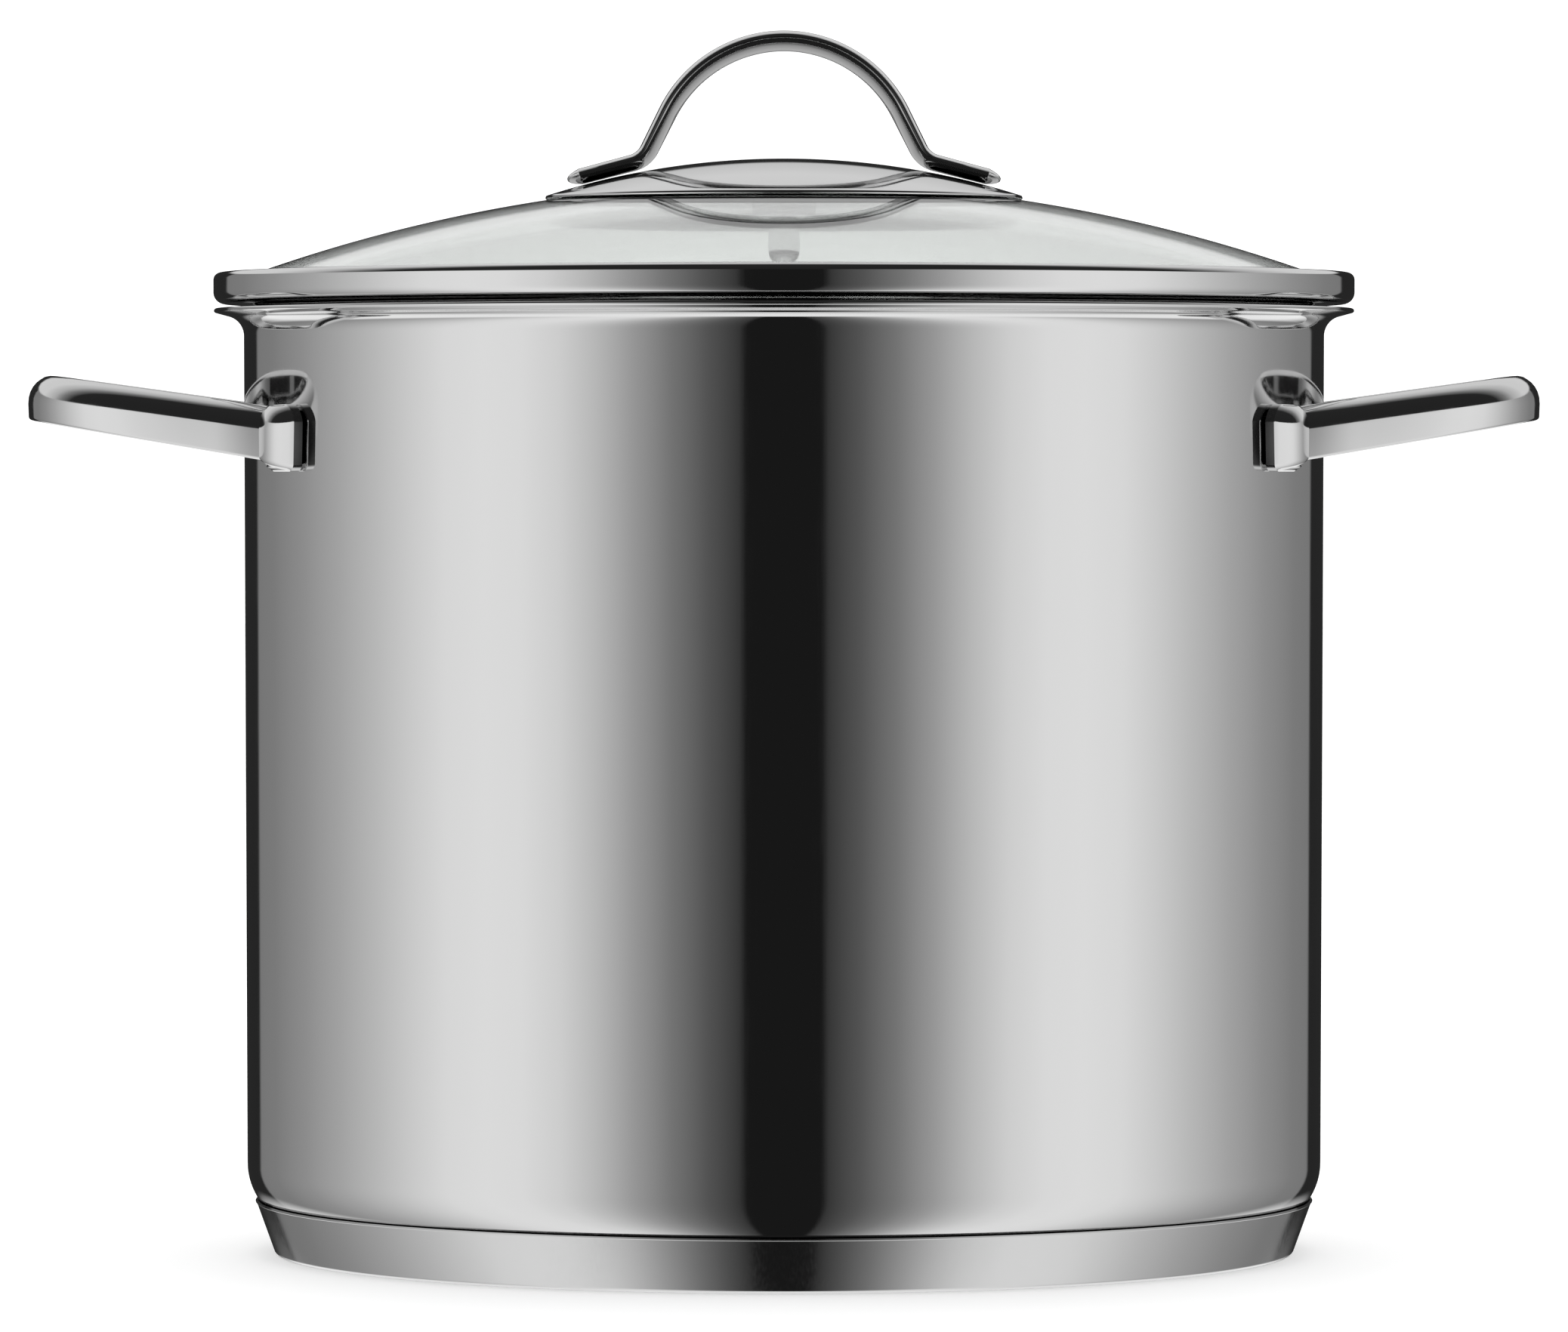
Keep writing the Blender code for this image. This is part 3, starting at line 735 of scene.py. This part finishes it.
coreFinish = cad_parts["base_core"].data.materials  # the hidden core keeps its CAD shape
coreFinish.clear()
coreFinish.append(coreAluminium)


# studio: pale floor, white surround, and a light tent that only reflections see

def stageMesh(bm, name, material):
    data = bpy.data.meshes.new(name)
    bm.to_mesh(data)
    bm.free()
    data.materials.append(material)
    item = bpy.data.objects.new(name, data)
    bpy.context.scene.collection.objects.link(item)
    return item


studio = {"floorSize": 30, "floorGlow": 0.2, "surround": 1.3}


def makeFloor():
    made, tree, shader = newMaterial("paleFloorPaint")
    shader.inputs["Roughness"].default_value = 0.7
    shader.inputs["Emission Color"].default_value = linearColour("#ffffff")
    shader.inputs["Emission Strength"].default_value = studio["floorGlow"]
    place = addNode(tree, "ShaderNodeTexCoord").outputs["Object"]
    mottle = addNode(tree, "ShaderNodeTexNoise", {"Scale": 3.0, "Detail": 3.0}, Vector=place)
    tone = addNode(tree, "ShaderNodeMix", {"data_type": "RGBA"}, in0=mottle.outputs[0])
    tone.inputs[6].default_value = linearColour("#f3f3f3")
    tone.inputs[7].default_value = linearColour("#f7f7f7")
    tree.links.new(tone.outputs[2], shader.inputs["Base Color"])
    bm = bmesh.new()
    bmesh.ops.create_grid(bm, x_segments=1, y_segments=1, size=studio["floorSize"])
    floor = stageMesh(bm, "floor", made)
    floor.visible_glossy = False


lightTent = {
    "radius": 8.0,
    # brightness round the horizon: share of the half turn from the front, brightness
    "round": (
        (0.0, 0.012), (0.046, 0.012), (0.048, 0.045), (0.088, 0.12), (0.13, 0.24), (0.175, 0.43),
        (0.22, 0.66), (0.265, 0.85), (0.315, 0.96), (0.365, 0.98), (0.42, 0.94), (0.47, 0.82),
        (0.53, 0.66), (0.6, 0.5), (0.68, 0.36), (0.77, 0.255), (0.834, 0.225), (0.842, 0.022), (1.0, 0.022)),
    # brightness of the upper half from front to back: dark studio in front, bright scrim behind
    "roof": ((0.0, 0.02), (0.5, 0.025), (0.6, 0.25), (0.68, 0.55), (0.82, 0.8), (0.95, 0.75), (1.0, 0.5)),
    "floor": 1.05, "floorLean": 50.0,
    # how much roof and floor take over from the round light, straight down to straight up
    "aboveShare": ((0.0, 0.0), (0.578, 0.0), (0.588, 1.0), (1.0, 1.0)),
    "belowShare": ((0.0, 1.0), (0.15, 1.0), (0.185, 0.0), (1.0, 0.0))}


def makeLightTent():
    made = bpy.data.materials.new("softTentLight")
    made.use_nodes = True
    tree = made.node_tree
    tree.nodes.clear()
    place = addNode(tree, "ShaderNodeTexCoord").outputs["Object"]
    way = addNode(tree, "ShaderNodeVectorMath", {"operation": "NORMALIZE"}, in0=place)
    parts = addNode(tree, "ShaderNodeSeparateXYZ", in0=way.outputs[0])
    toFront = addNode(tree, "ShaderNodeMath", {"operation": "MULTIPLY"}, in0=parts.outputs[1])
    toFront.inputs[1].default_value = -1.0
    turn = addNode(
        tree, "ShaderNodeMath", {"operation": "ARCTAN2"}, in0=parts.outputs[0], in1=toFront.outputs[0])
    either = addNode(tree, "ShaderNodeMath", {"operation": "ABSOLUTE"}, in0=turn.outputs[0])
    half = addNode(tree, "ShaderNodeMath", {"operation": "DIVIDE"}, in0=either.outputs[0])
    half.inputs[1].default_value = math.pi
    rise = addNode(tree, "ShaderNodeMath", {"operation": "ARCSINE"}, in0=parts.outputs[2])
    zenith = math.pi / 2
    up = addNode(
        tree, "ShaderNodeMapRange", {"From Min": -zenith, "From Max": zenith}, Value=rise.outputs[0])
    back = addNode(tree, "ShaderNodeMapRange", {"From Min": -1.0, "From Max": 1.0}, Value=parts.outputs[1])
    around = addNode(tree, "ShaderNodeValToRGB", in0=half.outputs[0])
    roof = addNode(tree, "ShaderNodeValToRGB", in0=back.outputs[0])
    aboveShare = addNode(tree, "ShaderNodeValToRGB", in0=up.outputs[0])
    lean = addNode(tree, "ShaderNodeMath", {"operation": "MULTIPLY"}, in0=parts.outputs[1])
    lean.inputs[1].default_value = lightTent["floorLean"] / 180
    leaned = addNode(
        tree, "ShaderNodeMath", {"operation": "SUBTRACT"}, in0=up.outputs[0], in1=lean.outputs[0])
    belowShare = addNode(tree, "ShaderNodeValToRGB", in0=leaned.outputs[0])
    setRamp(around, lightTent["round"])
    setRamp(roof, lightTent["roof"])
    setRamp(aboveShare, lightTent["aboveShare"])
    setRamp(belowShare, lightTent["belowShare"])
    upper = addNode(tree, "ShaderNodeMix", {"data_type": "RGBA"}, in0=aboveShare.outputs[0])
    tree.links.new(around.outputs[0], upper.inputs[6])
    tree.links.new(roof.outputs[0], upper.inputs[7])
    mix = addNode(tree, "ShaderNodeMix", {"data_type": "RGBA"}, in0=belowShare.outputs[0])
    tree.links.new(upper.outputs[2], mix.inputs[6])
    bounce = lightTent["floor"]
    mix.inputs[7].default_value = (bounce, bounce, bounce, 1.0)
    glow = addNode(tree, "ShaderNodeEmission", {"Strength": 1.0}, in0=mix.outputs[2])
    addNode(tree, "ShaderNodeOutputMaterial", in0=glow.outputs[0])
    bm = bmesh.new()
    bmesh.ops.create_icosphere(bm, subdivisions=5, radius=lightTent["radius"])
    tent = stageMesh(bm, "lightTent", made)
    tent.visible_camera = False
    tent.visible_diffuse = False
    tent.visible_transmission = False
    tent.visible_shadow = False


camera = {"place": (0.0, -2.203, 0.1792), "tilt": 1.248, "lens": 225.7, "sensor": 36.0, "clip": (0.1, 60.0)}


def makeSurround():
    scene = bpy.context.scene
    scene.view_settings.view_transform = "Standard"
    world = bpy.data.worlds.new("whiteSurround")
    world.use_nodes = True
    sky = world.node_tree.nodes["Background"]
    sky.inputs["Color"].default_value = linearColour("#ffffff")
    sky.inputs["Strength"].default_value = studio["surround"]
    scene.world = world


def makeCamera():
    scene = bpy.context.scene
    lens = bpy.data.cameras.new("camera")
    lens.lens = camera["lens"]
    lens.sensor_width = camera["sensor"]
    lens.clip_start, lens.clip_end = camera["clip"]
    holder = bpy.data.objects.new("camera", lens)
    holder.location = camera["place"]
    holder.rotation_euler = (math.radians(90 - camera["tilt"]), 0.0, 0.0)
    scene.collection.objects.link(holder)
    scene.camera = holder


makeSurround()
makeFloor()
makeLightTent()
makeCamera()
print("stage: studio made")
